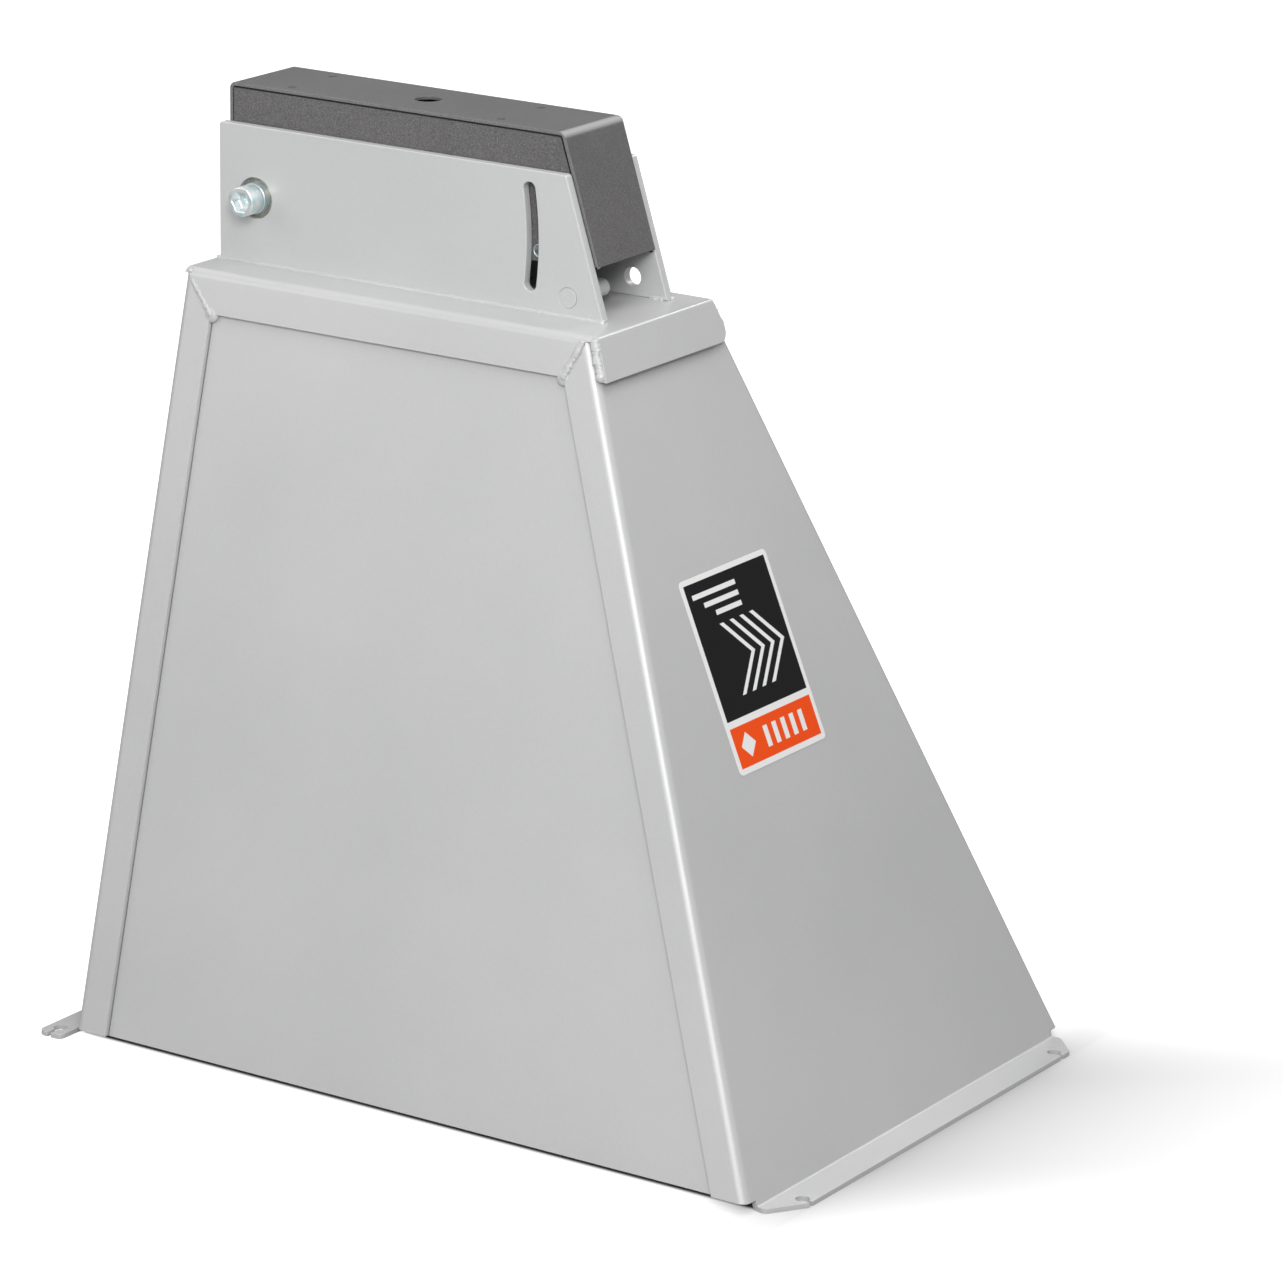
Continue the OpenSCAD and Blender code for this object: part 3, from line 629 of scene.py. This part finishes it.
def turned_metal(name, plain, tinted):
    """Turned metal with fine rings about the pivot, patches of a tint and fine scratches."""
    material, shader, place = new_finish(name)
    x, _, z = place.axes()
    across = x - pivot_x
    up = z - pivot_z
    reach = (across * across + up * up).math("SQRT")
    rings = reach.node("ShaderNodeTexNoise", {"noise_dimensions": "1D"},
                       {"W": reach, "Scale": ring_scale, "Detail": 1})
    tint = place.noise(150, 2).between(0.40, 0.66)
    height = 0.6 * rings + 0.4 * place.noise(1800, 1)
    feed(shader, Base_Color=tint.blend(plain, tinted), Metallic=0.75,
         Roughness=0.30 + 0.16 * rings, Normal=height.bump(0.25, 0.0001))
    return material


def hexagon(angle):
    """Share of its corner radius that a hexagon has at an angle."""
    return math.cos(math.pi / 6) / math.cos(angle % (math.pi / 3) - math.pi / 6)


def turned(shape, profile, segments=72):
    """Adds a body about +Z from rings of (radius, height, hexagonal or not), from inside out."""
    verts = bmesh.ops.create_circle(shape, cap_ends=True, segments=segments,
                                    radius=profile[0][0])["verts"]
    loop = list({edge for vert in verts for edge in vert.link_edges})
    for step, (radius, height, six) in enumerate(profile):
        if step:
            made = bmesh.ops.extrude_edge_only(shape, edges=loop)["geom"]
            verts = [part for part in made if isinstance(part, bmesh.types.BMVert)]
            loop = [part for part in made if isinstance(part, bmesh.types.BMEdge)
                    and all(vert in verts for vert in part.verts)]
        for vert in verts:
            angle = math.atan2(vert.co.y, vert.co.x)
            size = radius * (hexagon(angle) if six else 1)
            vert.co = (size * math.cos(angle), size * math.sin(angle), height)
    bmesh.ops.contextual_create(shape, geom=loop)
    bmesh.ops.recalc_face_normals(shape, faces=shape.faces)


# Rings from the middle of the socket's floor up its six walls, over the head's rounded rim
# and down the shank to the end of the thread
screw_profile = [(0.0022, socket_floor - 0.0016, False),
                 (socket_corner - 0.0004, socket_floor, True),
                 (socket_corner, socket_floor + 0.0006, True),
                 (socket_corner, screw_face - 0.0011, True),
                 (socket_corner + 0.0009, screw_face - 0.0001, True),
                 (socket_corner + 0.0014, screw_face, False),
                 (screw_head - 0.0012, screw_face, False),
                 (screw_head - 0.0006, screw_face - 0.0002, False),
                 (screw_head - 0.0002, screw_face - 0.0006, False),
                 (screw_head, screw_face - 0.0012, False),
                 (screw_head, head_seat + 0.0006, False),
                 (screw_head - 0.0006, head_seat, False),
                 (screw_shank, head_seat, False),
                 (screw_shank, head_seat - 0.008, False)]
for turn in range(thread_turns):
    root = thread_start - turn * thread_pitch
    screw_profile += [(screw_shank - thread_depth, root, False),
                      (screw_shank, root - thread_pitch * 0.45, False),
                      (screw_shank, root - thread_pitch * 0.60, False)]
screw_profile += [(screw_shank - 0.0016, 0.0, False)]
screws = bmesh.new()
turned(screws, screw_profile)
for vert in screws.verts:
    vert.co = (pivot_x + vert.co.x, pair_y - screw_reach + screw_face - vert.co.z,
               pivot_z + vert.co.y)
mirrored = bmesh.ops.duplicate(screws, geom=screws.faces[:] + screws.edges[:] + screws.verts[:])
for part in mirrored["geom"]:
    if isinstance(part, bmesh.types.BMVert):
        part.co.y = 2 * pair_y - part.co.y
bmesh.ops.recalc_face_normals(screws, faces=screws.faces)
zinc = turned_metal("zinc_plate", zinc_plain, zinc_tint)
screw_piece = finish_piece(screws, "socket_screws", zinc, "zinc_plate", "head", "pivot_screws")
screw_piece.modifiers.new("shading", "WEIGHTED_NORMAL")
dark_boss_finish = turned_metal("dark_boss_finish", boss_plain, boss_tint)
dress(["pivot_sleeves", "clamp_nuts"], zinc, zinc_edge)
dress(["front_boss", "rear_boss"], dark_boss_finish, zinc_edge)

# Floor and light: a floor that the camera sees as plain white by a glow it gives off to the
# camera only. The glow is held back in a painted wedge of shadow at the stand's right and in a
# thin painted dark line under its walls, where the grey floor shows with its real shading. Soft
# boxes stand high at the left, overhead, at the front right and behind, in a pale room.
white = (1, 1, 1, 1)
black = (0, 0, 0, 1)
floor_grey = (0.42, 0.42, 0.42, 1)
floor_size = 14.0
shadow_fade = 1.15
shadow_drift = 0.80
shadow_start = (-0.44, -0.08)
shadow_end = (0.12, 0.42)
shadow_side = (0.24, 0.34)
contact_shade_width = 0.006
contact_shade_start = 0.0215
floor_shape = bmesh.new()
bmesh.ops.create_grid(floor_shape, x_segments=1, y_segments=1, size=floor_size / 2)
floor_mesh = bpy.data.meshes.new("floor")
floor_shape.to_mesh(floor_mesh)
floor_shape.free()
floor = bpy.data.objects.new("floor", floor_mesh)
bpy.context.scene.collection.objects.link(floor)


def camera_sight(tree):
    """1 where the camera looks at a place, and 0 where light is gathered from it."""
    return Value(tree, tree.nodes.new("ShaderNodeLightPath").outputs["Is Camera Ray"])


floor_paint, floor_shader, floor_place = new_finish("floor_paint")
floor_x, floor_y, _ = floor_place.axes()
# Painted shadow: a wedge at the stand's right where the glow is held back and the grey floor's
# own shading shows
out_right = (floor_x - cad_box[1].x).math("MAXIMUM", 0)
along = floor_y - shadow_drift * out_right
painted_shadow = ((1 - shadow_fade * out_right.math("SQRT")) * along.between(*shadow_start)
          * (1 - along.between(*shadow_end)) * floor_x.between(*shadow_side))
# Painted contact shade: the glow is also held back in a thin band round the walls
out_front = floor_y.math("ABSOLUTE") - (plinth_depth / 2 - contact_shade_start)
out_side = (floor_x - wall_right).math("MAXIMUM", wall_left - floor_x)
glow = (camera_sight(floor_paint.node_tree) * (1 - painted_shadow)
        * out_front.math("MAXIMUM", out_side).between(0.0, contact_shade_width))
feed(floor_shader, Base_Color=floor_grey, Roughness=0.9,
     Emission_Color=glow.blend(black, white), Emission_Strength=1.0)
floor_mesh.materials.append(floor_paint)

world_level = 0.28
world = bpy.data.worlds.new("studio")
world.use_nodes = True
bpy.context.scene.world = world
world_tree = world.node_tree
world_light = world_tree.nodes["Background"]
world_light.inputs["Color"].default_value = white
world_strength = world_level + (1 - world_level) * camera_sight(world_tree)
world_tree.links.new(world_strength.socket, world_light.inputs["Strength"])


def soft_box(name, place, aim, width, height, power):
    """Area lamp at a place, turned towards an aim."""
    lamp = bpy.data.lights.new(name, "AREA")
    lamp.shape = "RECTANGLE"
    lamp.size = width
    lamp.size_y = height
    lamp.energy = power
    holder = bpy.data.objects.new(name, lamp)
    turn = (Vector(aim) - Vector(place)).to_track_quat("-Z", "Y").to_matrix().to_4x4()
    holder.matrix_world = Matrix.Translation(place) @ turn
    bpy.context.scene.collection.objects.link(holder)


soft_box("key_light", (-1.9, 0.9, 3.4), (0, 0, 0.4), 3.2, 3.2, 28)
soft_box("left_light", (-2.6, -1.9, 1.9), (0, 0, 0.35), 1.6, 1.6, 21)
soft_box("top_light", (0.6, -0.4, 2.2), (0.1, 0, 0.4), 1.4, 1.4, 17)
soft_box("front_light", (0.9, -3.1, 1.9), (0, 0, 0.35), 0.6, 1.8, 34)
soft_box("fill_light", (2.0, -2.6, 2.4), (0, 0, 0.35), 1.0, 1.0, 66)
soft_box("rear_light", (0.45, 2.8, 2.6), (0, 0, 0.5), 0.8, 0.8, 29)

view = bpy.context.scene.view_settings
view.view_transform = "Standard"
